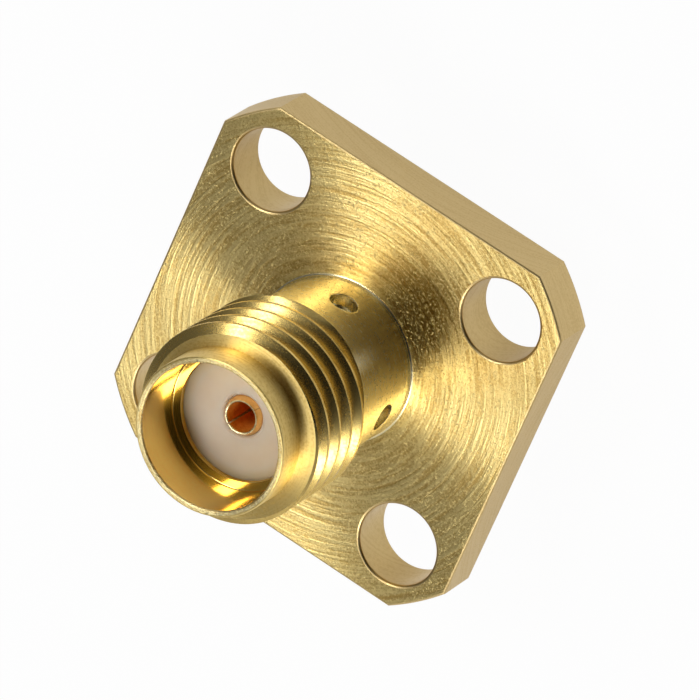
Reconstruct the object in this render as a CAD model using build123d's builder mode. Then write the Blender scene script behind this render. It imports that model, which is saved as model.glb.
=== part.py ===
from build123d import *
import os
from math import radians, cos, sin, tan, sqrt

# Coaxial jack with a square four-hole flange, for fixing to a panel or a housing wall.
# Three real pieces: a one-piece turned and milled brass body, a white fluoropolymer
# insulator, and a slotted socket contact that ends in a round solder post behind the flange.
#
# Millimetres. The origin is the centre of the flange's back face, +Z runs along the mating
# axis towards the open nose, and the flange's sides lie along X and Y.

# Flange, milled square from round bar, which leaves its corners as arcs
flange_side = 12.7
corner_cut = 0.98
flange_thickness = 1.65
hole_inset = 2.03
hole_diameter = 2.65
edge_break = 0.07

# Bores: a wide one for the plug's sleeve, down to a shoulder, and a narrower one for the insulator
mating_bore_diameter = 4.65
mating_bore_depth = 1.90
mouth_chamfer = 0.08
shoulder_width = 0.275

# Barrel, from the flange's front face outwards
neck_wall = 0.60
neck_length = 3.45
neck_root_radius = 0.08
thread_diameter = 6.25
thread_length = 3.35
thread_chamfer = 0.10
nose_wall = 0.205
nose_length = 1.05
nose_bevel = 0.05

# Stakes: blind holes round the neck, whose floors are punched into the insulator to lock it
stake_count = 4
stake_hole_diameter = 0.90
stake_floor = 0.18
stake_height = 1.35
punch_diameter = 0.60
punch_tip_diameter = 0.36
punch_depth = 0.12

# Insulator
insulator_setback = 0.15
tine_clearance = 0.065

# Centre contact
contact_diameter = 1.27
contact_setback = 0.05
contact_tip_chamfer = 0.09
socket_diameter = 0.94
socket_depth = 2.90
socket_lead_in = 0.03
drill_point_angle = 118.0
slot_width = 0.10
slot_depth = 2.40
slot_angle = 56.0
barb_diameter = 1.62
barb_length = 0.50
barb_height = 2.00
post_diameter = 0.94
post_length = 3.00
post_end_chamfer = 0.12

# The bar that the square is milled from, less by a cut at each corner than its diagonal
bar_diameter = sqrt(2) * flange_side - 2 * corner_cut
hole_spacing = flange_side - 2 * hole_inset

# Heights along the axis
neck_top = flange_thickness + neck_length
shoulder = neck_top + thread_length
front = shoulder + nose_length
mating_shoulder = front - mating_bore_depth
insulator_front = mating_shoulder - insulator_setback
contact_front = mating_shoulder - contact_setback
stake_z = flange_thickness + stake_height
barb_base = flange_thickness + barb_height

# Radii
mating_bore_r = mating_bore_diameter / 2
insulator_r = mating_bore_r - shoulder_width
neck_r = insulator_r + neck_wall
nose_r = mating_bore_r + nose_wall
thread_r = thread_diameter / 2
stake_floor_r = insulator_r + stake_floor
contact_r = contact_diameter / 2
socket_r = socket_diameter / 2
barb_r = barb_diameter / 2
post_r = post_diameter / 2


def radial_planes(radius, outward=True):
    """Planes round the neck at the stakes' height, facing away from the axis or towards it."""
    planes = []
    for k in range(stake_count):
        angle = radians(360 / stake_count * k)
        out = Vector(cos(angle), sin(angle), 0)
        origin = out * radius + Vector(0, 0, stake_z)
        planes.append(Plane(origin=origin, x_dir=(0, 0, 1), z_dir=out if outward else -out))
    return planes


def rings_at(part, radius, height):
    """The part's circular edges of one radius about the axis, at one height."""
    return [
        edge
        for edge in part.edges().filter_by(GeomType.CIRCLE)
        if abs(edge.radius - radius) < 1e-5 and abs(edge.arc_center.Z - height) < 1e-5
    ]


# The ridge round the contact that bites into the insulator: a long taper towards the post,
# and a square step towards the nose. Both pieces are cut to this one profile.
with BuildSketch(Plane.XZ) as barb:
    with BuildLine():
        Polyline(
            (0, barb_base),
            (contact_r, barb_base),
            (barb_r, barb_base + barb_length),
            (0, barb_base + barb_length),
            close=True,
        )
    make_face()

# One-piece body
with BuildPart() as flange_body:
    # Square flange with the bar's arcs for corners, and its four fixing holes
    with BuildSketch():
        Rectangle(flange_side, flange_side)
        Circle(bar_diameter / 2, mode=Mode.INTERSECT)
    extrude(amount=flange_thickness)
    with Locations((0, 0, flange_thickness)):
        with GridLocations(hole_spacing, hole_spacing, 2, 2):
            Hole(hole_diameter / 2)
    flange_faces = flange_body.faces().filter_by(Axis.Z)
    chamfer(flange_faces.edges(), length=edge_break)

    # Barrel: plain neck, the thread's full diameter, and the plain nose
    with BuildSketch(Plane.XZ):
        with BuildLine():
            Polyline(
                (0, 0),
                (neck_r, 0),
                (neck_r, neck_top),
                (thread_r - thread_chamfer, neck_top),
                (thread_r, neck_top + thread_chamfer),
                (thread_r, shoulder - thread_chamfer),
                (thread_r - thread_chamfer, shoulder),
                (nose_r, shoulder),
                (nose_r, front - nose_bevel),
                (nose_r - nose_bevel, front),
                (0, front),
                close=True,
            )
        make_face()
    revolve(axis=Axis.Z)
    fillet(rings_at(flange_body, neck_r, flange_thickness), radius=neck_root_radius)

    # Stepped bore from the nose right through the flange
    with Locations((0, 0, front)):
        CounterBoreHole(insulator_r, mating_bore_r, mating_bore_depth)
    chamfer(rings_at(flange_body, mating_bore_r, front), length=mouth_chamfer)

    # Stakes: hole, punch mark in its floor, and the bump that the punch raises in the bore
    with Locations(*radial_planes(neck_r)):
        Hole(stake_hole_diameter / 2, depth=neck_r - stake_floor_r)
    with Locations(*radial_planes(stake_floor_r, outward=False)):
        Cone(
            punch_diameter / 2,
            punch_tip_diameter / 2,
            punch_depth,
            align=(Align.CENTER, Align.CENTER, Align.MIN),
            mode=Mode.SUBTRACT,
        )
    with Locations(*radial_planes(insulator_r, outward=False)):
        Cone(
            punch_diameter / 2,
            punch_tip_diameter / 2,
            punch_depth,
            align=(Align.CENTER, Align.CENTER, Align.MIN),
        )

# Insulator, pushed in against nothing but the stakes, so their bumps sink into its side
with BuildPart() as insulator:
    Cylinder(
        insulator_r,
        insulator_front,
        align=(Align.CENTER, Align.CENTER, Align.MIN),
    )
    with Locations((0, 0, insulator_front)):
        CounterBoreHole(
            contact_r,
            contact_r + tine_clearance,
            insulator_front - contact_front + socket_depth,
        )
    revolve(barb.sketch, axis=Axis.Z, mode=Mode.SUBTRACT)
    with Locations(*radial_planes(insulator_r, outward=False)):
        Cone(
            punch_diameter / 2,
            punch_tip_diameter / 2,
            punch_depth,
            align=(Align.CENTER, Align.CENTER, Align.MIN),
            mode=Mode.SUBTRACT,
        )

# Centre contact: slotted socket in front, barb in the middle, thinner round post behind
with BuildPart() as centre_contact:
    with BuildSketch(Plane.XZ):
        with BuildLine():
            Polyline(
                (0, -post_length),
                (post_r - post_end_chamfer, -post_length),
                (post_r, post_end_chamfer - post_length),
                (post_r, 0),
                (contact_r, 0),
                (contact_r, contact_front - contact_tip_chamfer),
                (contact_r - contact_tip_chamfer, contact_front),
                (0, contact_front),
                close=True,
            )
        make_face()
    revolve(axis=Axis.Z)
    revolve(barb.sketch, axis=Axis.Z)

    # Socket, drilled from the front, with the drill's own point at its bottom
    drill_point = socket_r / tan(radians(drill_point_angle / 2))
    with BuildSketch(Plane.XZ):
        with BuildLine():
            Polyline(
                (0, contact_front),
                (socket_r + socket_lead_in, contact_front),
                (socket_r, contact_front - socket_lead_in),
                (socket_r, contact_front - socket_depth),
                (0, contact_front - socket_depth - drill_point),
                close=True,
            )
        make_face()
    revolve(axis=Axis.Z, mode=Mode.SUBTRACT)

    # One saw cut across the socket leaves two springy tines
    with BuildSketch(Plane.XY.offset(contact_front)):
        Rectangle(contact_diameter + 2 * tine_clearance, slot_width, rotation=slot_angle)
    extrude(amount=-slot_depth, mode=Mode.SUBTRACT)

os.makedirs("parts", exist_ok=True)
for name, builder in (
    ("flange_body", flange_body),
    ("insulator", insulator),
    ("centre_contact", centre_contact),
):
    builder.part.label = name
    export_step(builder.part, f"parts/{name}.step")
    print(name, "volume", round(builder.part.volume, 3), "mm3")
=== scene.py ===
# %% [markdown]
# # A gold-plated SMA jack with a square flange
#
# The object is small: its flange is 12.7 mm square. It was turned and milled from brass bar,
# plated with gold, and fitted with a white insulator and a slotted socket contact.
# The solids come from a CAD model. This lesson dresses them: it cuts the fine helical thread
# that the CAD leaves plain, rounds the edges, and gives every surface the marks of the tool
# that made it.

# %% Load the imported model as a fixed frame
import bmesh
import bpy
from math import acos, asin, atan2, cos, hypot, pi, radians, sin, sqrt, tan
from mathutils import Matrix, Quaternion, Vector


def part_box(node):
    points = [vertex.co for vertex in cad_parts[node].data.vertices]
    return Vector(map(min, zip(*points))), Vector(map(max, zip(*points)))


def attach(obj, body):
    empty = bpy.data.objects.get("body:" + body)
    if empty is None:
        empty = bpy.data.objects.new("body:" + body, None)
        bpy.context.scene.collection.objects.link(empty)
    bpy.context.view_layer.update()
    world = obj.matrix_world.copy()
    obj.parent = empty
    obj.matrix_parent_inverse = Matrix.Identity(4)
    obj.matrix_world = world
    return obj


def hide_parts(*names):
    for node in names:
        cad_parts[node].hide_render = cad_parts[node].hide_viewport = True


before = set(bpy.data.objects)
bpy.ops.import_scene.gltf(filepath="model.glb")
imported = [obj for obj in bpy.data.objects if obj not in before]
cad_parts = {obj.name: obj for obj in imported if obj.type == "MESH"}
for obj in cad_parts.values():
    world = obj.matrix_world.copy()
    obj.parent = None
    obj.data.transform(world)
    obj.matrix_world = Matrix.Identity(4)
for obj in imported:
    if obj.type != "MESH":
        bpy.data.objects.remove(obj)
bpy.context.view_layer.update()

print("CAD nodes:", sorted(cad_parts))

# %% [markdown]
# ## Measures
#
# Everything below is written in millimetres and turned to metres when a mesh is made.
# The outer sizes are read from the frame, so each dressed piece fills the space of its solid.
# The sizes inside that outline are those of the CAD model, and heights follow from lengths.
# A real size is written once, and whatever meets it takes its place from the same value.
# The origin is the centre of the flange's back face, and +Z runs out through the nose.

# %% Outer sizes, from the boxes of the CAD nodes
MM = 0.001


def box_in_mm(node):
    """A CAD node's lowest and highest corners."""
    return [[round(value / MM, 4) for value in corner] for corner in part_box(node)]


FLANGE_HALF, _, FRONT = box_in_mm("flange_body")[1]
INSULATOR_R, _, INSULATOR_FRONT = box_in_mm("insulator")[1]
BARB_R, _, CONTACT_FRONT = box_in_mm("centre_contact")[1]
POST_END = box_in_mm("centre_contact")[0][2]
print("half flange:", FLANGE_HALF, "front:", FRONT, "contact:", POST_END, "to", CONTACT_FRONT)

# %% Lengths, walls and radii inside that outline
FLANGE_TOP = 1.65
BAR_R = 8.0
HOLE_INSET = 2.03
HOLE_R = 1.325

NECK_WALL = 0.60
NECK_LENGTH = 3.45
THREAD_R = 3.125
NOSE_LENGTH = 1.05
NOSE_R = 2.53
BORE_R = 2.325
BORE_DEPTH = 1.90

STAKE_R = 0.45
STAKE_HEIGHT = 1.35
STAKE_FLOOR_WALL = 0.18
PUNCH_R = 0.30
PUNCH_TIP_R = 0.18
PUNCH_DEPTH = 0.12

CONTACT_R = 0.635
BARB_HEIGHT = 2.00
BARB_LENGTH = 0.50
SOCKET_R = 0.47
SOCKET_DEPTH = 2.90
DRILL_POINT = 0.28
SLOT_DEPTH = 2.40
SLOT_HALF = 0.05
SLOT_ANGLE = 56.0
POST_R = 0.47
POST_CHAMFER = 0.12

# %% Heights and radii that follow from them
HOLE_GRID = FLANGE_HALF - HOLE_INSET
NECK_R = INSULATOR_R + NECK_WALL
NECK_TOP = FLANGE_TOP + NECK_LENGTH
SHOULDER = FRONT - NOSE_LENGTH
BORE_FLOOR = FRONT - BORE_DEPTH
STAKE_Z = FLANGE_TOP + STAKE_HEIGHT
STAKE_FLOOR_R = INSULATOR_R + STAKE_FLOOR_WALL
PUNCH_FLOOR_R = STAKE_FLOOR_R - PUNCH_DEPTH
BARB_BASE = FLANGE_TOP + BARB_HEIGHT
BARB_STEP = BARB_BASE + BARB_LENGTH
SOCKET_FLOOR = CONTACT_FRONT - SOCKET_DEPTH
SLOT_FLOOR = CONTACT_FRONT - SLOT_DEPTH
print("neck to", round(NECK_TOP, 3), "thread to", SHOULDER, "bore down to", BORE_FLOOR)

# %% [markdown]
# ## One helper for meshes
#
# Turned parts are easiest to describe as lists of points that are joined in rows. The helper
# gathers points and faces in millimetres, welds the points that fall together, and turns the
# result into an object. Large flat faces shade flat, while the small rounded edges between them
# shade smooth and catch the light, as they do on a real deburred part.

# %% A mesh under construction
WELD_M = 2e-7
SPECK_M = 1e-8
SHARP_ANGLE = 32.0


class Workpiece:
    """Points in millimetres, faces and their finishes, welded into one object at the end."""

    def __init__(self):
        self.points = []
        self.faces = []
        self.finishes = []
        self.flats = []

    def add(self, points):
        """Keeps the points, and gives their numbers."""
        first = len(self.points)
        self.points.extend(points)
        return list(range(first, len(self.points)))

    def face(self, corners, finish, flat=False):
        self.faces.append(tuple(corners))
        self.finishes.append(finish)
        self.flats.append(flat)

    def strip(self, low, high, finish, closed=True):
        """Quads between two rows of points, with normals to the right of low seen towards high."""
        count = len(low)
        for i in range(count if closed else count - 1):
            j = (i + 1) % count
            self.face((low[i], low[j], high[j], high[i]), finish)

    def rows(self, rows, finish, closed=True):
        """Strips between each row and the next."""
        for low, high in zip(rows, rows[1:]):
            self.strip(low, high, finish, closed)

    def lathe(self, profile, finish, steps):
        """Turns (radius, height) points round Z. Going up the outside gives outward normals."""
        rows = [self.add(ring(radius, z, steps)) for radius, z in profile]
        self.rows(rows, finish)
        return rows

    def fill(self, loops, z, finish, up=True):
        """Fills the flat region between one outer loop and the holes in it, at one height."""
        plane = bmesh.new()
        edges = []
        for loop in loops:
            corners = [plane.verts.new((self.points[i][0], self.points[i][1], 0)) for i in loop]
            for a, b in zip(corners, corners[1:] + corners[:1]):
                edges.append(plane.edges.new((a, b)))
        bmesh.ops.triangle_fill(
            plane, use_beauty=True, use_dissolve=False, edges=edges, normal=(0, 0, 1)
        )
        plane.verts.index_update()
        placed = self.add([(v.co.x, v.co.y, z) for v in plane.verts])
        for face in plane.faces:
            corners = [placed[v.index] for v in face.verts]
            if (face.normal.z > 0) != up:
                corners.reverse()
            self.face(corners, finish, flat=True)
        plane.free()

    def build(self, name, materials):
        """Makes the object, with its materials, welded points and sharp edges."""
        mesh = bpy.data.meshes.new(name)
        metres = [(x * MM, y * MM, z * MM) for x, y, z in self.points]
        mesh.from_pydata(metres, [], self.faces)
        for material in materials:
            mesh.materials.append(material)
        for polygon, finish, flat in zip(mesh.polygons, self.finishes, self.flats):
            polygon.material_index = finish
            polygon.use_smooth = not flat
        open_edges = self.weld(mesh)
        smooth = [polygon.use_smooth for polygon in mesh.polygons]
        mesh.set_sharp_from_angle(angle=radians(SHARP_ANGLE))
        for polygon, is_smooth in zip(mesh.polygons, smooth):
            polygon.use_smooth = is_smooth
        piece = bpy.data.objects.new(name, mesh)
        bpy.context.scene.collection.objects.link(piece)
        print(f"{name}: {len(mesh.polygons)} faces, {open_edges} edges not shared by two faces")
        return piece

    def weld(self, mesh):
        """Joins the points that fall together, and counts the edges that are still open."""
        work = bmesh.new()
        work.from_mesh(mesh)
        bmesh.ops.remove_doubles(work, verts=work.verts, dist=WELD_M)
        bmesh.ops.dissolve_degenerate(work, edges=work.edges, dist=SPECK_M)
        open_edges = sum(1 for edge in work.edges if len(edge.link_faces) != 2)
        work.to_mesh(mesh)
        work.free()
        return open_edges


# %% Circles, and quarter turns for every rounded edge
def ring(radius, z, steps):
    """Points of a circle round Z."""
    turn = 2 * pi / steps
    return [(radius * cos(turn * i), radius * sin(turn * i), z) for i in range(steps)]


def quarter_round(start, end, steps, leaves_along_z):
    """A quarter turn between two (across, height) spots. It leaves or arrives along Z."""
    points = []
    for i in range(steps + 1):
        turn = pi / 2 * i / steps
        early, late = sin(turn), 1 - cos(turn)
        across, along = (late, early) if leaves_along_z else (early, late)
        points.append(
            (start[0] + (end[0] - start[0]) * across, start[1] + (end[1] - start[1]) * along)
        )
    return points


# %% [markdown]
# ## The brass body
#
# The real body is one piece, so it is one mesh. A bar is turned to the barrel's diameters and
# the flange is milled square, which leaves a bit of the bar's round at each corner. A boolean
# cut could make it, but it would leave untidy faces round the holes, and these shade badly in
# polished metal. So each surface is laid out as rows of points that meet the next one's.
#
# Smooth shading bleeds from a rounded edge into the flat beside it. One more row of points
# just past each round, the holding row, keeps the flat looking flat.

# %% Finishes of the body, as places in its list of materials
FACED, MILLED, DRILLED, TURNED, THREADED, REAMED, NOSE, STAKED, RIM = range(9)
STEPS = 256
HOLD = 0.012
EDGE_STEPS = 4
body = Workpiece()


# %% Flange: the square outline with its broken edges
def flange_outline(inset, z, arc_steps=12):
    """The square with its corners on the bar's circle, moved in by the inset."""
    side, bar = FLANGE_HALF - inset, BAR_R - inset
    first, last = acos(side / bar), asin(side / bar)
    points = []
    for quarter in range(4):
        for i in range(arc_steps + 1):
            angle = quarter * pi / 2 + first + (last - first) * i / arc_steps
            points.append((bar * cos(angle), bar * sin(angle), z))
    return points


BREAK = 0.07
outline_path = quarter_round((BREAK, 0.0), (0.0, BREAK), EDGE_STEPS, False)
outline_path += [(0.0, BREAK + HOLD), (0.0, FLANGE_TOP - BREAK - HOLD)]
outline_path += quarter_round((0.0, FLANGE_TOP - BREAK), (BREAK, FLANGE_TOP), EDGE_STEPS, True)
outline_rows = [body.add(flange_outline(inset, z)) for inset, z in outline_path]
body.rows(outline_rows, MILLED)
print("flange rows:", len(outline_rows), "of", len(outline_rows[0]), "points")

# %% Flange: four screw holes, broken a little more in front
HOLE_BREAK = 0.09
HOLE_STEPS = 96
hole_path = quarter_round((HOLE_BREAK, FLANGE_TOP), (0.0, FLANGE_TOP - HOLE_BREAK), EDGE_STEPS, False)
hole_path += [(0.0, FLANGE_TOP - HOLE_BREAK - HOLD), (0.0, BREAK + HOLD)]
hole_path += quarter_round((0.0, BREAK), (BREAK, 0.0), EDGE_STEPS, True)
hole_rims_top, hole_rims_bottom = [], []
for sx, sy in ((1, 1), (-1, 1), (-1, -1), (1, -1)):
    rows = []
    for inset, z in hole_path:
        circle = ring(HOLE_R + inset, z, HOLE_STEPS)
        rows.append(body.add([(x + sx * HOLE_GRID, y + sy * HOLE_GRID, z) for x, y, z in circle]))
    body.rows(rows, DRILLED)
    hole_rims_top.append(rows[0])
    hole_rims_bottom.append(rows[-1])
print("screw holes:", len(hole_rims_top), "on a square of", round(2 * HOLE_GRID, 3), "mm")

# %% [markdown]
# ## The neck and its stakes
#
# Once the insulator is in, the neck is staked: a punch goes into four blind holes and pushes
# their floors into the insulator. A hole drilled into a round neck has a rim that rises and
# falls. So a patch is left out of the neck for each hole, and rows of points lead from the
# patch's square border to the hole's circle, then round its edge and down to the punch mark.

# %% Neck: a small fillet at the flange, and rows with a patch left out for each stake hole
FILLET = 0.08
PATCH_COLUMNS = 10
PATCH_HALF = 0.65
PATCH_LOW, PATCH_HIGH = STAKE_Z - PATCH_HALF, STAKE_Z + PATCH_HALF
ROW_GAPS_BELOW = (0.25, 0.45)
ROW_GAPS_ABOVE = (1.2, 0.8, 0.4)

fillet_path = quarter_round(
    (NECK_R + FILLET, FLANGE_TOP), (NECK_R, FLANGE_TOP + FILLET), EDGE_STEPS, False
)
fillet_rows = body.lathe(fillet_path, TURNED, STEPS)
fillet_top = fillet_path[-1][1]

patch_rows = 2 * PATCH_COLUMNS
patch_step = (PATCH_HIGH - PATCH_LOW) / patch_rows
patch_heights = [PATCH_LOW + patch_step * i for i in range(patch_rows + 1)]
neck_heights = [fillet_top, fillet_top + HOLD]
neck_heights += [FLANGE_TOP + gap for gap in ROW_GAPS_BELOW]
neck_heights += patch_heights
neck_heights += [NECK_TOP - gap for gap in ROW_GAPS_ABOVE]
neck_heights += [NECK_TOP]
neck_rows = [body.add(ring(NECK_R, z, STEPS)) for z in neck_heights]
for k, (low, high) in enumerate(zip(neck_rows, neck_rows[1:])):
    beside_stakes = neck_heights[k] in patch_heights and neck_heights[k + 1] in patch_heights
    for i in range(STEPS):
        from_stake = (i + PATCH_COLUMNS) % (STEPS // 4)
        if beside_stakes and from_stake < 2 * PATCH_COLUMNS:
            continue
        j = (i + 1) % STEPS
        body.face((low[i], low[j], high[j], high[i]), TURNED)
print("neck rows:", len(neck_rows))


# %% Stakes: from a patch's border to a circle, both as (sideways, height) spots
def patch_border():
    """Spots round a patch, seen from outside, starting at its lower left."""
    side = [NECK_R * sin(2 * pi * k / STEPS) for k in range(-PATCH_COLUMNS, PATCH_COLUMNS + 1)]
    spots = [(s, PATCH_LOW) for s in side[:-1]]
    spots += [(side[-1], z) for z in patch_heights[:-1]]
    spots += [(s, PATCH_HIGH) for s in side[:0:-1]]
    spots += [(side[0], z) for z in patch_heights[:0:-1]]
    return spots


def stake_circle(radius):
    """The border's spots, drawn in to a circle round the stake's middle."""
    leans = [atan2(z - STAKE_Z, s) for s, z in border]
    return [(radius * cos(lean), STAKE_Z + radius * sin(lean)) for lean in leans]


def round_the_neck(spots, turn, sunk=0.0, distance=None):
    """Places spots on the neck, sunk by a depth, or else at one distance from the axis."""
    placed = []
    for s, z in spots:
        out = sqrt(NECK_R**2 - s * s) - sunk if distance is None else distance
        placed.append((out * cos(turn) - s * sin(turn), out * sin(turn) + s * cos(turn), z))
    return placed


border = patch_border()
print("spots round a patch:", len(border))

# %% Stakes: rounded rim, wall, flat floor and punch mark
STAKE_ROUND = 0.035
STAKE_WALL = 0.10
FLOOR_CORNER = 0.02
PUNCH_ROUND = 0.01
STEPS_TO_RIM = 4
rim_circle = stake_circle(STAKE_R + STAKE_ROUND)
wall_path = [(STAKE_R + 0.014, 0.005), (STAKE_R + 0.002, 0.018)]
wall_path += [(STAKE_R, STAKE_ROUND), (STAKE_R, STAKE_WALL)]
floor_path = [
    (STAKE_R, STAKE_FLOOR_R + FLOOR_CORNER),
    (STAKE_R - FLOOR_CORNER, STAKE_FLOOR_R),
    (PUNCH_R + PUNCH_ROUND, STAKE_FLOOR_R),
    (PUNCH_R - PUNCH_ROUND, STAKE_FLOOR_R - PUNCH_ROUND),
    (PUNCH_TIP_R, PUNCH_FLOOR_R),
    (0.0, PUNCH_FLOOR_R),
]
for quarter in range(4):
    turn = quarter * pi / 2
    rows = []
    for step in range(STEPS_TO_RIM + 1):
        share = step / STEPS_TO_RIM
        spots = [
            (s + (to_s - s) * share, z + (to_z - z) * share)
            for (s, z), (to_s, to_z) in zip(border, rim_circle)
        ]
        rows.append(body.add(round_the_neck(spots, turn)))
    body.rows(rows, TURNED)
    hole_rows = [rows[-1]]
    for radius, sunk in wall_path:
        hole_rows.append(body.add(round_the_neck(stake_circle(radius), turn, sunk=sunk)))
    for radius, distance in floor_path:
        hole_rows.append(body.add(round_the_neck(stake_circle(radius), turn, distance=distance)))
    body.rows(hole_rows, STAKED)
print("rows in a stake hole:", len(hole_rows))

# %% [markdown]
# ## The coupling thread
#
# A 1/4-36 thread has a pitch of 0.7056 mm. Its flanks lean 30 degrees, and its crests are flat
# because the bar was turned a little under size. A screw modifier would make the helix, but
# its ends would stick out. Here one turn's profile is swept as a sheet that runs past both
# ends, and two flat cuts trim it, just as the lathe faces both ends of the real thread. The
# cut leaves the half crest that fades out at the front shoulder.

# %% Thread profile over one pitch: crest, flank and root
PITCH = 25.4 / 36
ROOT_R = 2.735
FLANK_LEAN = 30.0
CREST_HALF = 0.040
CREST_ROUND, CREST_STEPS = 0.018, 3
ROOT_ROUND, ROOT_STEPS = 0.045, 4
ROUND_TURN = 90.0 - FLANK_LEAN
half_profile = [(0.0, THREAD_R), (CREST_HALF - HOLD, THREAD_R)]
for i in range(CREST_STEPS + 1):
    turn = radians(ROUND_TURN * i / CREST_STEPS)
    drop = CREST_ROUND * (1 - cos(turn))
    half_profile.append((CREST_HALF + CREST_ROUND * sin(turn), THREAD_R - drop))
flank_z, flank_r = half_profile[-1]
root_round_r = ROOT_R + ROOT_ROUND * (1 - cos(radians(ROUND_TURN)))
for r in (flank_r - HOLD, root_round_r + HOLD):
    half_profile.append((flank_z + (flank_r - r) * tan(radians(FLANK_LEAN)), r))
root_start = flank_z + (flank_r - root_round_r) * tan(radians(FLANK_LEAN))
for i in range(ROOT_STEPS + 1):
    turn = radians(ROUND_TURN * (1 - i / ROOT_STEPS))
    along = ROOT_ROUND * (sin(radians(ROUND_TURN)) - sin(turn))
    half_profile.append((root_start + along, ROOT_R + ROOT_ROUND * (1 - cos(turn))))
half_profile.append((PITCH / 2, ROOT_R))
thread_profile = [(-z, r) for z, r in half_profile[:0:-1]] + half_profile
print("thread profile points:", len(thread_profile), "depth:", round(THREAD_R - ROOT_R, 3))

# %% Sweep the profile along the helix, from a crest's place in the photograph
CREST_TURN = 100.0
CREST_Z = 7.88
SHEET_WELD = 1e-4


def crest_height(turn):
    """Height of the crest's centre line, right-handed: it climbs as the angle grows."""
    return CREST_Z + PITCH * (turn - radians(CREST_TURN)) / (2 * pi)


first_column = int(-(CREST_Z - NECK_TOP + 2 * PITCH) / PITCH * STEPS)
last_column = int((SHOULDER - CREST_Z + 2 * PITCH) / PITCH * STEPS)
sheet = bmesh.new()
previous = None
for column in range(first_column, last_column + 1):
    turn = 2 * pi * column / STEPS
    corners = [
        sheet.verts.new((r * cos(turn), r * sin(turn), crest_height(turn) + z))
        for z, r in thread_profile
    ]
    if previous:
        for k in range(len(corners) - 1):
            sheet.faces.new((previous[k], corners[k], corners[k + 1], previous[k + 1]))
    previous = corners
bmesh.ops.remove_doubles(sheet, verts=sheet.verts, dist=SHEET_WELD)
print("swept faces:", len(sheet.faces))

# %% Trim both ends flat, and break the crests there as the lathe's deburring tool does
END_BREAK = 0.07
ON_THE_CUT = 1e-6


def cut_sheet(z, drop_below=False, drop_above=False):
    """Cuts the sheet at one height, and may drop what lies below or above the cut."""
    everything = sheet.verts[:] + sheet.edges[:] + sheet.faces[:]
    bmesh.ops.bisect_plane(
        sheet,
        geom=everything,
        dist=ON_THE_CUT,
        plane_co=(0, 0, z),
        plane_no=(0, 0, 1),
        clear_inner=drop_below,
        clear_outer=drop_above,
    )


cut_sheet(NECK_TOP, drop_below=True)
cut_sheet(SHOULDER, drop_above=True)
cut_sheet(NECK_TOP + END_BREAK)
cut_sheet(SHOULDER - END_BREAK)
for vertex in sheet.verts:
    x, y, z = vertex.co
    past_end = max(NECK_TOP + END_BREAK - z, z - SHOULDER + END_BREAK, 0.0)
    limit = THREAD_R - past_end
    radius = hypot(x, y)
    if radius > limit:
        vertex.co = (x * limit / radius, y * limit / radius, z)
sheet.verts.index_update()
thread_points = body.add([tuple(v.co) for v in sheet.verts])
for face in sheet.faces:
    body.face([thread_points[v.index] for v in face.verts], THREADED)


# %% The two cuts, as loops for the flat ends
def trimmed_edge(z):
    """The trimmed sheet's points at one height, in order round the axis."""
    on_cut = [v for v in sheet.verts if abs(v.co.z - z) < SHEET_WELD]
    on_cut.sort(key=lambda v: atan2(v.co.y, v.co.x))
    return [thread_points[v.index] for v in on_cut]


front_cut, back_cut = trimmed_edge(SHOULDER), trimmed_edge(NECK_TOP)
print("thread faces:", len(sheet.faces), "points on the cuts:", len(front_cut), len(back_cut))
sheet.free()

# %% [markdown]
# ## Nose, rim and bores
#
# These are turned in one setting on the real part: up the outside of the nose, over the rim,
# down the wide mating bore to its flat seat, and down the narrower bore for the insulator.
# Three profiles that continue each other do the same here, so that each has its own finish.
# The real rim is worn round by plugs, so its inner edge is rounder than the CAD's small chamfer.

# %% Nose, rim and bores, each starting where the one before it ends
NOSE_ROUND = 0.05
RIM_ROUND = 0.055
BORE_CORNER = 0.035
NOSE_MIDDLE = FRONT - 0.5
BORE_MIDDLE = BORE_FLOOR + 1.0
SLEEVE_TOP_ROW = BORE_FLOOR - 0.3
rim_outer = (NOSE_R - NOSE_ROUND - HOLD, FRONT)
rim_foot = (BORE_R, FRONT - RIM_ROUND - HOLD)
nose_path = [(NOSE_R, SHOULDER), (NOSE_R, NOSE_MIDDLE), (NOSE_R, FRONT - NOSE_ROUND - HOLD)]
nose_path += quarter_round((NOSE_R, FRONT - NOSE_ROUND), (NOSE_R - NOSE_ROUND, FRONT), EDGE_STEPS, True)
nose_path += [rim_outer]
rim_path = [rim_outer, (BORE_R + RIM_ROUND + HOLD, FRONT)]
rim_path += quarter_round((BORE_R + RIM_ROUND, FRONT), (BORE_R, FRONT - RIM_ROUND), EDGE_STEPS, False)
rim_path += [rim_foot]
bore_path = [rim_foot, (BORE_R, BORE_MIDDLE), (BORE_R, BORE_FLOOR + BORE_CORNER + HOLD)]
bore_path += quarter_round((BORE_R, BORE_FLOOR + BORE_CORNER), (BORE_R - BORE_CORNER, BORE_FLOOR), 3, True)
bore_path += [(BORE_R - BORE_CORNER - HOLD, BORE_FLOOR), (INSULATOR_R, BORE_FLOOR)]
bore_path += [(INSULATOR_R, SLEEVE_TOP_ROW), (INSULATOR_R, 0.0)]
nose_rows = body.lathe(nose_path, NOSE, STEPS)
body.lathe(rim_path, RIM, STEPS)
bore_rows = body.lathe(bore_path, REAMED, STEPS)
print("rows from the shoulder to the back:", len(nose_rows) + len(rim_path) + len(bore_rows))

# %% The flat faces: both sides of the flange, and both ends of the thread
body.fill([outline_rows[-1], fillet_rows[0], *hole_rims_top], FLANGE_TOP, FACED)
body.fill([outline_rows[0], bore_rows[-1], *hole_rims_bottom], 0.0, FACED, up=False)
body.fill([front_cut, nose_rows[0]], SHOULDER, NOSE)
body.fill([back_cut, neck_rows[-1]], NECK_TOP, FACED, up=False)
print("faces of the body before welding:", len(body.faces))

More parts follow.
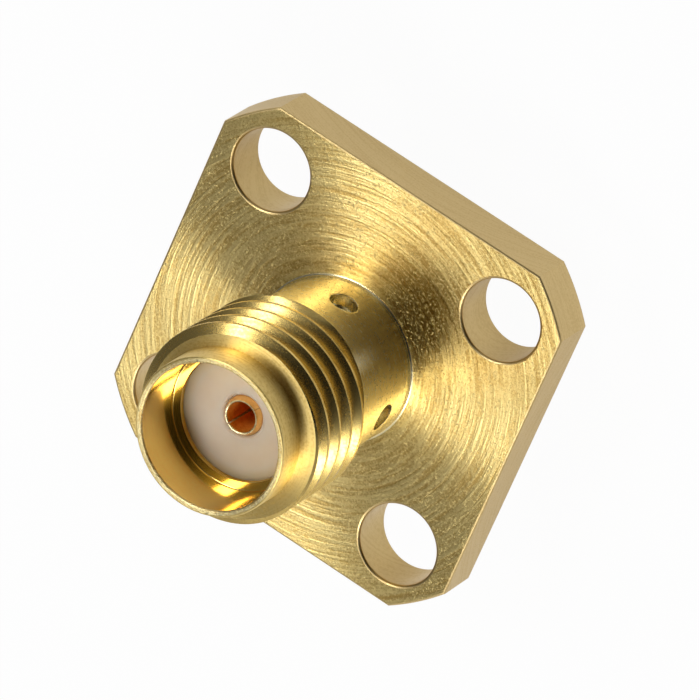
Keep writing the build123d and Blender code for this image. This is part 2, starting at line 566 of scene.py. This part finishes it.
# %% [markdown]
# ## The insulator
#
# The real one is a sleeve turned from white fluoropolymer rod, pushed in from the front. It
# stands a little below the flat seat, and its front is bored wider round the contact, so that
# the contact's tines can spread. It is turned here from one closed profile. Its soft lip hugs
# the tines more closely than the CAD's plain bore does, as in the photograph, and its side
# stays just clear of the brass so that the two surfaces never flicker through each other.

# %% Insulator
ONLY_FINISH = 0
SLEEVE_STEPS = 192
SIDE_GAP = 0.002
SLEEVE_R = INSULATOR_R - SIDE_GAP
SLEEVE_ROUND = 0.03
BACK_EDGE = 0.01
TINE_HOLE_R = 0.65
LIP_REACH, LIP_DEPTH = 0.135, 0.120
LIP_SPOTS = [(LIP_REACH, 0.0), (0.095, 0.007), (0.055, 0.030)]
LIP_SPOTS += [(0.026, 0.060), (0.008, 0.090), (0.0, LIP_DEPTH)]
insulator_path = [
    (CONTACT_R, 0.0),
    (SLEEVE_R - BACK_EDGE, 0.0),
    (SLEEVE_R, BACK_EDGE),
    (SLEEVE_R, INSULATOR_FRONT - SLEEVE_ROUND - HOLD),
    *quarter_round(
        (SLEEVE_R, INSULATOR_FRONT - SLEEVE_ROUND), (SLEEVE_R - SLEEVE_ROUND, INSULATOR_FRONT), 2, True
    ),
    (SLEEVE_R - SLEEVE_ROUND - HOLD, INSULATOR_FRONT),
    (TINE_HOLE_R + LIP_REACH + HOLD, INSULATOR_FRONT),
    *[(TINE_HOLE_R + wider, INSULATOR_FRONT - below) for wider, below in LIP_SPOTS],
    (TINE_HOLE_R, INSULATOR_FRONT - LIP_DEPTH - HOLD),
    (TINE_HOLE_R, SOCKET_FLOOR),
    (CONTACT_R, SOCKET_FLOOR),
    (CONTACT_R, BARB_STEP),
    (BARB_R, BARB_STEP),
    (CONTACT_R, BARB_BASE),
    (CONTACT_R, 0.0),
]
insulator = Workpiece()
insulator.lathe(insulator_path, ONLY_FINISH, SLEEVE_STEPS)
print("points in the sleeve's profile:", len(insulator_path))

# %% [markdown]
# ## The centre contact
#
# It is one turned pin. The front is drilled for the plug's pin and sawn once across, and the
# two halves are squeezed so that they grip. So the tips taper, and the saw cut closes towards
# them, on one side more than on the other. Each half is laid out as rows that stop short of
# the cut by the same distance at every radius, which leaves the flat faces of a saw cut.
# The socket's mouth flares like a bell.
# Behind the flange the pin is thinner and ends in a chamfer, ready for solder.

# %% Contact: the solid rear, from the post's end up to the slot's floor
# The taper's and the socket's golds hold painted warm light.
PLATED, SOCKET, TAPER_PAINTED_WARM = range(3)
CONTACT_STEPS = 96
contact = Workpiece()
rear_path = [
    (0.0, POST_END),
    (POST_R - POST_CHAMFER, POST_END),
    (POST_R, POST_END + POST_CHAMFER),
    (POST_R, 0.0),
    (CONTACT_R, 0.0),
    (CONTACT_R, BARB_BASE),
    (BARB_R, BARB_STEP),
    (CONTACT_R, BARB_STEP),
    (CONTACT_R, SLOT_FLOOR),
    (SOCKET_R, SLOT_FLOOR),
    (SOCKET_R, SOCKET_FLOOR),
    (0.0, SOCKET_FLOOR - DRILL_POINT),
]
contact.lathe(rear_path, PLATED, CONTACT_STEPS)

# %% Contact: a tine's profile, up the outside, over the tip and down the socket
TAPER_LENGTH = 0.205
TAPER_FOOT = CONTACT_FRONT - TAPER_LENGTH
FOOT_IN, FOOT_UP = 0.004, 0.02
TIP_SPOTS = [(0.549, 0.012), (0.544, 0.004), (0.538, 0.0), (0.534, 0.0)]
MOUTH_SPOTS = [(0.512, 0.0), (0.505, 0.002), (0.492, 0.011)]
MOUTH_SPOTS += [(0.480, 0.026), (SOCKET_R, 0.050), (SOCKET_R, 0.065)]
tine_path = [
    (CONTACT_R, SLOT_FLOOR),
    (CONTACT_R, TAPER_FOOT - HOLD),
    (CONTACT_R, TAPER_FOOT),
    (CONTACT_R - FOOT_IN, TAPER_FOOT + FOOT_UP),
    *[(radius, CONTACT_FRONT - below) for radius, below in TIP_SPOTS + MOUTH_SPOTS],
    (SOCKET_R, SLOT_FLOOR),
]
TAPER_ROWS = slice(0, 5)
PLATED_ROWS = slice(4, -2)
SOCKET_ROWS = slice(-3, None)
print("rows in a tine:", len(tine_path))

# %% Contact: the two tines, with the saw cut between them
SLOT_TIP_HALF = (0.006, 0.026)


def slot_edge(radius, z, tip_half):
    """Angle from the slot's middle to the tine's edge. The cut narrows towards the tip."""
    opening = (CONTACT_FRONT - z) / (CONTACT_FRONT - SLOT_FLOOR)
    return asin((tip_half + (SLOT_HALF - tip_half) * opening) / radius)


def tine_row(radius, z, side, tip_halves):
    """Half a circle, short of the saw cut at both ends."""
    start = radians(SLOT_ANGLE) + side + slot_edge(radius, z, tip_halves[0])
    end = radians(SLOT_ANGLE) + side + pi - slot_edge(radius, z, tip_halves[1])
    step = (end - start) / (CONTACT_STEPS // 2)
    angles = [start + step * i for i in range(CONTACT_STEPS // 2 + 1)]
    return [(radius * cos(angle), radius * sin(angle), z) for angle in angles]


for side, tip_halves in ((0.0, SLOT_TIP_HALF), (pi, SLOT_TIP_HALF[::-1])):
    rows = [contact.add(tine_row(radius, z, side, tip_halves)) for radius, z in tine_path]
    contact.rows(rows[TAPER_ROWS], TAPER_PAINTED_WARM, closed=False)
    contact.rows(rows[PLATED_ROWS], PLATED, closed=False)
    contact.rows(rows[SOCKET_ROWS], SOCKET, closed=False)
    contact.strip(rows[-1], rows[0], PLATED, closed=False)
    contact.face([row[0] for row in rows], PLATED)
    contact.face([row[-1] for row in reversed(rows)], PLATED)
print("faces of the contact before welding:", len(contact.faces))

# %% [markdown]
# ## Materials
#
# The metal is brass with a thin gold plate. Plating copies the surface under it, so the same
# gold looks different wherever another tool has been: the flange's faces were cut on the
# lathe, which leaves rings, its sides were milled, its holes were drilled, and the mating bore
# was reamed smooth. Rough plating looks paler and flatter, and smooth plating deeper, so each
# finish has its own two golds, close to each other and matched to the photograph. A few of
# these golds also hold painted light or painted shade, which is said where they are made.
#
# One function makes all of these from the same few layers of noise, so that they stay one
# metal. First come the helpers: colours, nodes, and where a point lies on the turned part.


# %% Colours and nodes
def linear(hex_colour):
    """An sRGB hex colour as the linear values that Blender's shaders use."""
    values = [int(hex_colour[i : i + 2], 16) / 255 for i in (1, 3, 5)]
    return tuple(v / 12.92 if v <= 0.04045 else ((v + 0.055) / 1.055) ** 2.4 for v in values) + (1.0,)


def add_node(tree, kind, settings=None, links=None):
    """Adds a node. Settings are its properties or its sockets' values, and links are its inputs."""
    made = tree.nodes.new(kind)
    for name, value in (settings or {}).items():
        if hasattr(made, str(name)):
            setattr(made, name, value)
        else:
            made.inputs[name].default_value = value
    for name, source in (links or {}).items():
        tree.links.new(source, made.inputs[name])
    return made


def start_material(name):
    """A material with an empty node tree, and that tree."""
    material = bpy.data.materials.new(name)
    material.use_nodes = True
    material.node_tree.nodes.clear()
    return material, material.node_tree


# %% Where a point lies
def place_on_object(tree):
    """The point's place in millimetres, the part of it across the axis, and that part's length."""
    place = add_node(tree, "ShaderNodeTexCoord").outputs["Object"]
    in_mm = add_node(
        tree, "ShaderNodeVectorMath", {"operation": "SCALE", "Scale": 1 / MM}, {0: place}
    ).outputs[0]
    across = add_node(
        tree, "ShaderNodeVectorMath", {"operation": "MULTIPLY", 1: (1, 1, 0)}, {0: in_mm}
    ).outputs[0]
    radius = add_node(tree, "ShaderNodeVectorMath", {"operation": "LENGTH"}, {0: across}).outputs["Value"]
    return in_mm, across, radius


# %% [markdown]
# A tool that turns leaves rings. On a flat face they follow the radius, on a barrel they follow
# the height, and radius plus height serves for both. Noise along that sum gives rings of uneven
# strength, and a slow change with the angle breaks them into long streaks, as a real facing
# cut shows where the tool chatters. Real feed marks are a few hundredths of a millimetre
# apart, about as wide as one pixel here, so they are drawn coarser where they have to show.

# %% Rings that a tool left
STREAKS_PER_RADIAN = 2.0


def tool_marks(tree, in_mm, across, radius, mark_mm):
    """Noise in rings of one width round the axis, broken into streaks along them."""
    heading = add_node(tree, "ShaderNodeVectorMath", {"operation": "NORMALIZE"}, {0: across}).outputs[0]
    heading = add_node(
        tree, "ShaderNodeVectorMath", {"operation": "SCALE", "Scale": STREAKS_PER_RADIAN}, {0: heading}
    ).outputs[0]
    around = add_node(tree, "ShaderNodeSeparateXYZ", None, {0: heading})
    height = add_node(tree, "ShaderNodeSeparateXYZ", None, {0: in_mm}).outputs["Z"]
    along = add_node(tree, "ShaderNodeMath", {"operation": "ADD"}, {0: radius, 1: height}).outputs[0]
    ring_number = add_node(
        tree, "ShaderNodeMath", {"operation": "DIVIDE", 1: mark_mm}, {0: along}
    ).outputs[0]
    in_rings = add_node(
        tree,
        "ShaderNodeCombineXYZ",
        None,
        {"X": ring_number, "Y": around.outputs["X"], "Z": around.outputs["Y"]},
    ).outputs[0]
    return add_node(
        tree, "ShaderNodeTexNoise", {"Scale": 1.0, "Detail": 3.0, "Roughness": 0.6}, {"Vector": in_rings}
    ).outputs["Fac"]


# %% [markdown]
# Gold plate is rarely perfect. The plating bath leaves fine pits, and handling leaves small
# dents where the noise of the pits is highest. Both are bumps here, over the bump of the tool
# marks. The same noises also set the colour and the shine: where a surface is high it is
# rubbed brighter, and where it is low it stays duller and deeper. Noise uses only the middle
# of its range, so the depths below are several times those that the surface gets.
#
# Rings too fine to see spread the light across them. That is what the shader's anisotropy
# does, with a tangent that runs round the axis and a quarter turn that sets the spread
# across the rings.

# %% Gold over tool marks and pits
DENT_FROM, DENT_TO = 0.60, 0.70
WORN_FROM, WORN_TO = 0.40, 0.54
DULLEST, SHINIEST = 1.15, 0.90
ACROSS_THE_RINGS = 0.25


def worn_surface(tree, marks, pits, mark_depth_mm, pit_depth_mm, dent_share):
    """The normal over the tool's marks, with pits and dents on top."""
    marked = add_node(
        tree, "ShaderNodeBump", {"Strength": 1.0, "Distance": mark_depth_mm * MM}, {"Height": marks}
    ).outputs[0]
    dents = add_node(
        tree, "ShaderNodeMapRange", {"From Min": DENT_FROM, "From Max": DENT_TO}, {"Value": pits}
    ).outputs[0]
    dented = add_node(
        tree, "ShaderNodeMath", {"operation": "MULTIPLY_ADD", 1: dent_share}, {0: dents, 2: pits}
    ).outputs[0]
    return add_node(
        tree,
        "ShaderNodeBump",
        {"Strength": 1.0, "Distance": pit_depth_mm * MM},
        {"Height": dented, "Normal": marked},
    ).outputs[0]


def gold_plate(
    name, colours, roughness, anisotropic, mark_mm, mark_depth_mm, pit_mm, pit_depth_mm, dent_share=0.0
):
    """Gold, bright and dull, over the rings that a tool left and over small pits."""
    material, tree = start_material(name)
    in_mm, across, radius = place_on_object(tree)
    marks = tool_marks(tree, in_mm, across, radius, mark_mm)
    pits = add_node(
        tree,
        "ShaderNodeTexNoise",
        {"Scale": 1 / pit_mm, "Detail": 3.0, "Roughness": 0.6},
        {"Vector": in_mm},
    ).outputs["Fac"]
    normal = worn_surface(tree, marks, pits, mark_depth_mm, pit_depth_mm, dent_share)
    wear = add_node(tree, "ShaderNodeMix", {"data_type": "FLOAT", 0: 0.5}, {2: marks, 3: pits}).outputs[0]
    shine = add_node(
        tree, "ShaderNodeMapRange", {"From Min": WORN_FROM, "From Max": WORN_TO}, {"Value": wear}
    ).outputs[0]
    bright, dull = colours
    tint = add_node(
        tree, "ShaderNodeMix", {"data_type": "RGBA", 6: linear(dull), 7: linear(bright)}, {0: shine}
    ).outputs[2]
    dullness = add_node(
        tree,
        "ShaderNodeMapRange",
        {"To Min": roughness * DULLEST, "To Max": roughness * SHINIEST},
        {"Value": shine},
    ).outputs[0]
    tangent = add_node(tree, "ShaderNodeTangent", {"direction_type": "RADIAL", "axis": "Z"}).outputs[0]
    shader = add_node(
        tree,
        "ShaderNodeBsdfPrincipled",
        {"Metallic": 1.0, "Anisotropic": anisotropic, "Anisotropic Rotation": ACROSS_THE_RINGS},
        {"Base Color": tint, "Roughness": dullness, "Normal": normal, "Tangent": tangent},
    )
    add_node(tree, "ShaderNodeOutputMaterial", None, {"Surface": shader.outputs[0]})
    return material


# %% [markdown]
# ### The flange's finishes
#
# The face was cut on the lathe with a coarse feed: clear arcs round the axis, a sheen that
# turns with them like the sheen on a record, and a speckle of dents. The milled sides are
# plain and matt, without rings round this axis. The drilled holes are matt with faint scores.
# Sides and holes share a darker gold. It is matt plating, and also painted shade for the
# darker surroundings that they mirror.

# %% Gold over faced, milled and drilled brass
# Darker gold for the sides and the holes: matt plating, plus painted shade.
MATT_GOLD_AND_PAINTED_SHADE = ("#DDC288", "#D6BA7F")
faced_gold = gold_plate(
    "gold plate over faced brass",
    colours=("#FEE498", "#D2AE62"),
    roughness=0.33,
    anisotropic=0.95,
    mark_mm=0.13,
    mark_depth_mm=0.036,
    pit_mm=0.06,
    pit_depth_mm=0.004,
    dent_share=2.0,
)
milled_gold_and_painted_shade = gold_plate(
    "gold plate over milled brass, with painted shade",
    colours=MATT_GOLD_AND_PAINTED_SHADE,
    roughness=0.42,
    anisotropic=0.0,
    mark_mm=0.08,
    mark_depth_mm=0.0,
    pit_mm=0.06,
    pit_depth_mm=0.003,
)
drilled_gold_and_painted_shade = gold_plate(
    "gold plate over drilled brass, with painted shade",
    colours=MATT_GOLD_AND_PAINTED_SHADE,
    roughness=0.32,
    anisotropic=0.2,
    mark_mm=0.10,
    mark_depth_mm=0.002,
    pit_mm=0.09,
    pit_depth_mm=0.002,
)
print("flange finishes:", faced_gold.name, "/", milled_gold_and_painted_shade.name, "/", drilled_gold_and_painted_shade.name)

# %% [markdown]
# ### The barrel's finishes
#
# The neck and the stake holes shine most on the outside. The neck's gold is set paler than
# the rest, because it mirrors the gold flange and takes on its colour twice. The thread was
# cut with a sharp form tool: shiny flanks, a little deeper in colour. The nose was turned with
# a coarser feed than the neck, so its highlight is wide and runs in rings. The reamed bore is
# the smoothest surface and mirrors itself, which makes it the warmest. The rim is worn by
# plugs: pale, with nicks that a larger pit depth gives.

# %% Gold over the turned neck, the stake holes and the thread
PALE_GOLD = ("#FBEDBC", "#F2E0A8")
turned_gold = gold_plate(
    "gold plate over turned brass",
    colours=PALE_GOLD,
    roughness=0.25,
    anisotropic=0.5,
    mark_mm=0.06,
    mark_depth_mm=0.001,
    pit_mm=0.09,
    pit_depth_mm=0.001,
)
staked_gold = gold_plate(
    "gold plate in the stake holes",
    colours=PALE_GOLD,
    roughness=0.25,
    anisotropic=0.2,
    mark_mm=0.10,
    mark_depth_mm=0.002,
    pit_mm=0.09,
    pit_depth_mm=0.002,
)
thread_gold = gold_plate(
    "gold plate over cut thread",
    colours=("#EACC7C", "#D6B568"),
    roughness=0.25,
    anisotropic=0.3,
    mark_mm=0.06,
    mark_depth_mm=0.001,
    pit_mm=0.09,
    pit_depth_mm=0.001,
)
print("neck and thread finishes:", turned_gold.name, "/", staked_gold.name, "/", thread_gold.name)

# %% Gold over the nose, the rim and the bore
nose_gold = gold_plate(
    "gold plate over the coarser turned nose",
    colours=("#F5D98C", "#E2C272"),
    roughness=0.36,
    anisotropic=0.85,
    mark_mm=0.06,
    mark_depth_mm=0.003,
    pit_mm=0.09,
    pit_depth_mm=0.002,
)
rim_gold = gold_plate(
    "gold plate on the worn rim",
    colours=("#FCE9AC", "#E2C27A"),
    roughness=0.36,
    anisotropic=0.9,
    mark_mm=0.10,
    mark_depth_mm=0.004,
    pit_mm=0.07,
    pit_depth_mm=0.010,
    dent_share=1.5,
)
reamed_gold = gold_plate(
    "gold plate over reamed brass",
    colours=("#FFDE80", "#FFD678"),
    roughness=0.13,
    anisotropic=0.3,
    mark_mm=0.06,
    mark_depth_mm=0.0003,
    pit_mm=0.09,
    pit_depth_mm=0.0003,
)
print("nose and bore finishes:", nose_gold.name, "/", rim_gold.name, "/", reamed_gold.name)

# %% [markdown]
# ### The contact's finishes
#
# The contact is plated more thickly than the body, with hardly a mark. Light that goes down
# between the tines and the insulator comes back orange. The tapered tips are painted a warmer
# gold for it, a painted reflection of that orange light. The drilled socket is painted a deep
# orange gold, a painted glow of light bounced round inside it. The socket is rough all over,
# because the drill left it so and a narrow hole shows no reflections of the room.

# %% Gold on the contact
plated_gold = gold_plate(
    "bright gold plate on the contact",
    colours=PALE_GOLD,
    roughness=0.30,
    anisotropic=0.2,
    mark_mm=0.04,
    mark_depth_mm=0.0002,
    pit_mm=0.06,
    pit_depth_mm=0.0004,
)
# Painted reflection: a warmer gold on the taper for the orange light from the gap.
taper_gold_painted_warm = gold_plate(
    "gold plate on the tines' taper, painted warm light",
    colours=("#FFCF86", "#F6C57A"),
    roughness=0.35,
    anisotropic=0.2,
    mark_mm=0.04,
    mark_depth_mm=0.0002,
    pit_mm=0.06,
    pit_depth_mm=0.0004,
)
# Painted glow: a deep orange gold in the socket for light bounced round inside it.
socket_gold_painted_glow = gold_plate(
    "gold plate in the drilled socket, painted orange glow",
    colours=("#F6B954", "#EEAD46"),
    roughness=0.95,
    anisotropic=0.0,
    mark_mm=0.10,
    mark_depth_mm=0.002,
    pit_mm=0.06,
    pit_depth_mm=0.002,
)
print("contact finishes:", plated_gold.name, "/", taper_gold_painted_warm.name, "/", socket_gold_painted_glow.name)

# %% [markdown]
# ### The insulator's finish
#
# PTFE is white, waxy and a little translucent: light enters, scatters over about a millimetre
# and comes out again, so it has no hard shadows. Its refractive index of 1.35 is low, which
# keeps its gloss faint. Beside the bore's wall the white is painted warmer and lighter: a
# painted reflection of the gold wall, which also lifts the wall's shade there. Turning leaves
# a fine grain, drawn at 0.12 mm so that it can show.

# %% Insulator material
DULL_WHITE, BRIGHT_WHITE = "#F4D9C0", "#FCE4CE"
# Painted reflection of the gold wall, and painted light against its shade, near the rim.
PAINTED_GOLD_BOUNCE_WHITE = "#FFD2A0"
BOUNCE_PAINT_FROM_R, BOUNCE_PAINT_TO_R = 1.70, 2.06
SCATTER_MM = 1.3
CLOUDS_PER_MM = 2.2
GRAIN_MM = 0.12
GRAIN_DEPTH_MM = 0.002


def fluoropolymer(name):
    """Turned PTFE: white and waxy, with light scattered below the surface and a fine grain."""
    material, tree = start_material(name)
    in_mm, _, radius = place_on_object(tree)
    cloud = add_node(
        tree, "ShaderNodeTexNoise", {"Scale": CLOUDS_PER_MM, "Detail": 4.0}, {"Vector": in_mm}
    ).outputs["Fac"]
    white = add_node(
        tree,
        "ShaderNodeMix",
        {"data_type": "RGBA", 6: linear(DULL_WHITE), 7: linear(BRIGHT_WHITE)},
        {0: cloud},
    ).outputs[2]
    # Painted warm light: the white turns to the painted reflection colour towards the wall.
    painted_bounce_mask = add_node(
        tree, "ShaderNodeMapRange", {"From Min": BOUNCE_PAINT_FROM_R, "From Max": BOUNCE_PAINT_TO_R}, {"Value": radius}
    ).outputs[0]
    tint = add_node(
        tree, "ShaderNodeMix", {"data_type": "RGBA", 7: linear(PAINTED_GOLD_BOUNCE_WHITE)}, {0: painted_bounce_mask, 6: white}
    ).outputs[2]
    grain = add_node(
        tree, "ShaderNodeTexNoise", {"Scale": 1 / GRAIN_MM, "Detail": 3.0}, {"Vector": in_mm}
    ).outputs["Fac"]
    normal = add_node(
        tree, "ShaderNodeBump", {"Strength": 1.0, "Distance": GRAIN_DEPTH_MM * MM}, {"Height": grain}
    ).outputs[0]
    shader = add_node(
        tree,
        "ShaderNodeBsdfPrincipled",
        {
            "IOR": 1.35,
            "Roughness": 0.42,
            "Subsurface Weight": 1.0,
            "Subsurface Radius": (1.0, 0.9, 0.8),
            "Subsurface Scale": SCATTER_MM * MM,
        },
        {"Base Color": tint, "Normal": normal},
    )
    add_node(tree, "ShaderNodeOutputMaterial", None, {"Surface": shader.outputs[0]})
    return material


ptfe = fluoropolymer("turned white ptfe")
print("insulator finish:", ptfe.name)

# %% [markdown]
# ## The three pieces
#
# Each mesh now gets its materials, in the order of its finishes, and stands for one solid of
# the CAD model. Nothing on the jack moves, so all three ride on the one body.

# %% Build the pieces, and hide the solid that each one dresses
body_finishes = [faced_gold, milled_gold_and_painted_shade, drilled_gold_and_painted_shade, turned_gold, thread_gold]
body_finishes += [reamed_gold, nose_gold, staked_gold, rim_gold]
dressed_body = body.build("dressed_flange_body", body_finishes)
dressed_insulator = insulator.build("dressed_insulator", [ptfe])
dressed_contact = contact.build("dressed_centre_contact", [plated_gold, socket_gold_painted_glow, taper_gold_painted_warm])
for piece, node, slot in (
    (dressed_body, "flange_body", "gold_plated_brass"),
    (dressed_insulator, "insulator", "ptfe"),
    (dressed_contact, "centre_contact", "gold_plated_contact"),
):
    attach(piece, "root")
    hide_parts(node)

# %% [markdown]
# ## Camera
#
# The camera was fitted to the photograph from the flange's edges, its holes and the barrel's
# circles. It stands 304 mm away with a long lens, as for a close-up of a small part. The fit
# gives its place and the three directions that are right, up and back in the picture.

# %% Camera
CAMERA_PLACE = Vector((81.847, 149.647, 251.781))
CAMERA_RIGHT = Vector((0.80389, 0.35774, -0.47516))
CAMERA_UP = Vector((-0.53021, 0.79304, -0.29995))
CAMERA_BACK = Vector((0.26952, 0.49306, 0.8272))
camera_data = bpy.data.cameras.new("camera")
camera_data.sensor_width = 36.0
camera_data.lens = 510.04
camera_data.clip_start = 0.01
camera_data.clip_end = 5.0
camera = bpy.data.objects.new("camera", camera_data)
bpy.context.scene.collection.objects.link(camera)
camera_axes = Matrix((CAMERA_RIGHT, CAMERA_UP, CAMERA_BACK)).transposed().to_4x4()
camera.matrix_world = Matrix.Translation(CAMERA_PLACE * MM) @ camera_axes
bpy.context.scene.camera = camera
print("camera distance in mm:", round(CAMERA_PLACE.length, 1))

# %% [markdown]
# ## Light and background
#
# Polished metal is a picture of its surroundings, so the studio matters as much as the gold.
# Two tall softboxes stand on opposite sides and a third hangs above the back, and the room
# around the camera is dark. That gives the thread its dark middle between two bright bands,
# and the neck its bright patches.

# %% Softboxes
LAMP_DISTANCE_MM = 450.0


def direction_to(azimuth, elevation):
    """The direction of something that stands at these angles, in degrees, seen from the object."""
    a, e = radians(azimuth), radians(elevation)
    return Vector((cos(a) * cos(e), sin(a) * cos(e), sin(e)))


def softbox(name, azimuth, elevation, roll, size_mm, radiance):
    """A rectangular lamp that faces the object from a direction, rolled by some degrees about it."""
    width_mm, height_mm = size_mm
    data = bpy.data.lights.new(name, "AREA")
    data.shape = "RECTANGLE"
    data.size = width_mm * MM
    data.size_y = height_mm * MM
    data.energy = radiance * pi * width_mm * height_mm * MM * MM
    lamp = bpy.data.objects.new(name, data)
    bpy.context.scene.collection.objects.link(lamp)
    towards = direction_to(azimuth, elevation)
    lamp.location = towards * LAMP_DISTANCE_MM * MM
    lamp.rotation_mode = "QUATERNION"
    lamp.rotation_quaternion = towards.to_track_quat("Z", "Y") @ Quaternion((0, 0, 1), radians(roll))
    lamp.visible_camera = False
    print(f"{name}: {data.energy:.2f} W")


softbox("right softbox", azimuth=-45.0, elevation=51.0, roll=30.0, size_mm=(102.0, 225.0), radiance=7.0)
softbox("left softbox", azimuth=149.0, elevation=58.0, roll=-18.0, size_mm=(102.0, 216.0), radiance=6.4)
softbox("top softbox", azimuth=-119.0, elevation=72.5, roll=0.0, size_mm=(230.0, 100.0), radiance=5.4)

# %% [markdown]
# The room itself is the world. Real studio walls aren't one grey, so it is darkest behind the
# photographer, brighter low down on the right, where a white wall stands, and white below
# the horizon. Each zone is a smooth patch round one direction, full within an inner angle and
# gone beyond an outer one.

# %% Room
WALLS = 0.33
world = bpy.data.worlds.new("studio room")
bpy.context.scene.world = world
world.use_nodes = True
room = world.node_tree
room.nodes.clear()
towards_sky = add_node(room, "ShaderNodeTexCoord").outputs["Generated"]


def room_zone(level_before, level, azimuth, elevation, full, gone):
    """Moves the light level to another one near a direction: all the way within the full angle."""
    nearness = add_node(
        room,
        "ShaderNodeVectorMath",
        {"operation": "DOT_PRODUCT", 1: direction_to(azimuth, elevation)},
        {0: towards_sky},
    ).outputs["Value"]
    zone = add_node(
        room,
        "ShaderNodeMapRange",
        {
            "interpolation_type": "SMOOTHSTEP",
            "From Min": cos(radians(gone)),
            "From Max": cos(radians(full)),
        },
        {"Value": nearness},
    ).outputs[0]
    blend = add_node(room, "ShaderNodeMix", {"data_type": "FLOAT", 2: WALLS, 3: level}, {0: zone})
    if level_before is not None:
        room.links.new(level_before, blend.inputs[2])
    return blend.outputs[0]


white_wall = room_zone(None, level=0.65, azimuth=-66.0, elevation=22.0, full=12.0, gone=34.0)
dim_left = room_zone(white_wall, level=0.10, azimuth=185.0, elevation=30.0, full=22.0, gone=46.0)
dark_above = room_zone(dim_left, level=0.03, azimuth=20.0, elevation=50.0, full=16.0, gone=34.0)
photographer = room_zone(dark_above, level=0.01, azimuth=50.0, elevation=15.0, full=30.0, gone=45.0)
ceiling = room_zone(photographer, level=0.02, azimuth=60.0, elevation=76.0, full=20.0, gone=36.0)
under_lamp = room_zone(ceiling, level=0.10, azimuth=-119.0, elevation=50.0, full=6.0, gone=19.0)
below_horizon = room_zone(under_lamp, level=1.0, azimuth=0.0, elevation=-90.0, full=80.0, gone=92.0)
background = add_node(room, "ShaderNodeBackground", {"Color": (1, 1, 1, 1)}, {"Strength": below_horizon})
add_node(room, "ShaderNodeOutputWorld", None, {"Surface": background.outputs[0]})
print("nodes in the room's light:", len(room.nodes))

# %% [markdown]
# The floor is white paper, as deep below the flange as the solder post is long. A white floor
# under soft light renders grey, so the camera sees an added glow that brings it to white, and
# reflections see part of that glow. Diffuse rays don't see it, so it lights nothing and the
# floor keeps the object's shadow. Seen from below, the floor is clear.

# %% Floor
FLOOR_HALF_M = 1.0
GLOW_SEEN = 0.96
GLOW_IN_METAL = 0.40
floor_material, tree = start_material("white studio floor")
path = add_node(tree, "ShaderNodeLightPath")
in_metal = add_node(
    tree,
    "ShaderNodeMath",
    {"operation": "MAXIMUM"},
    {0: path.outputs["Is Glossy Ray"], 1: path.outputs["Is Transmission Ray"]},
).outputs[0]
share_in_metal = add_node(
    tree, "ShaderNodeMath", {"operation": "MULTIPLY", 1: GLOW_IN_METAL}, {0: in_metal}
).outputs[0]
glow_share = add_node(
    tree,
    "ShaderNodeMath",
    {"operation": "MULTIPLY_ADD", 1: GLOW_SEEN},
    {0: path.outputs["Is Camera Ray"], 2: share_in_metal},
).outputs[0]
paper = add_node(tree, "ShaderNodeBsdfDiffuse", {"Color": linear("#F4F4F4")})
glow = add_node(tree, "ShaderNodeEmission", {"Color": (1, 1, 1, 1), "Strength": 1.0})
lit = add_node(tree, "ShaderNodeMixShader", None, {0: glow_share, 1: paper.outputs[0], 2: glow.outputs[0]})
clear = add_node(tree, "ShaderNodeBsdfTransparent")
from_below = add_node(tree, "ShaderNodeNewGeometry").outputs["Backfacing"]
floor_shader = add_node(
    tree, "ShaderNodeMixShader", None, {0: from_below, 1: lit.outputs[0], 2: clear.outputs[0]}
)
add_node(tree, "ShaderNodeOutputMaterial", None, {"Surface": floor_shader.outputs[0]})

floor_corners = [
    (sx * FLOOR_HALF_M, sy * FLOOR_HALF_M, POST_END * MM)
    for sx, sy in ((-1, -1), (1, -1), (1, 1), (-1, 1))
]
floor_mesh = bpy.data.meshes.new("floor")
floor_mesh.from_pydata(floor_corners, [], [(0, 1, 2, 3)])
floor_mesh.materials.append(floor_material)
floor = bpy.data.objects.new("floor", floor_mesh)
bpy.context.scene.collection.objects.link(floor)

# %% [markdown]
# ## Finish
#
# The Standard view shows colours as they are written.

# %% The view transform
bpy.context.scene.view_settings.view_transform = "Standard"
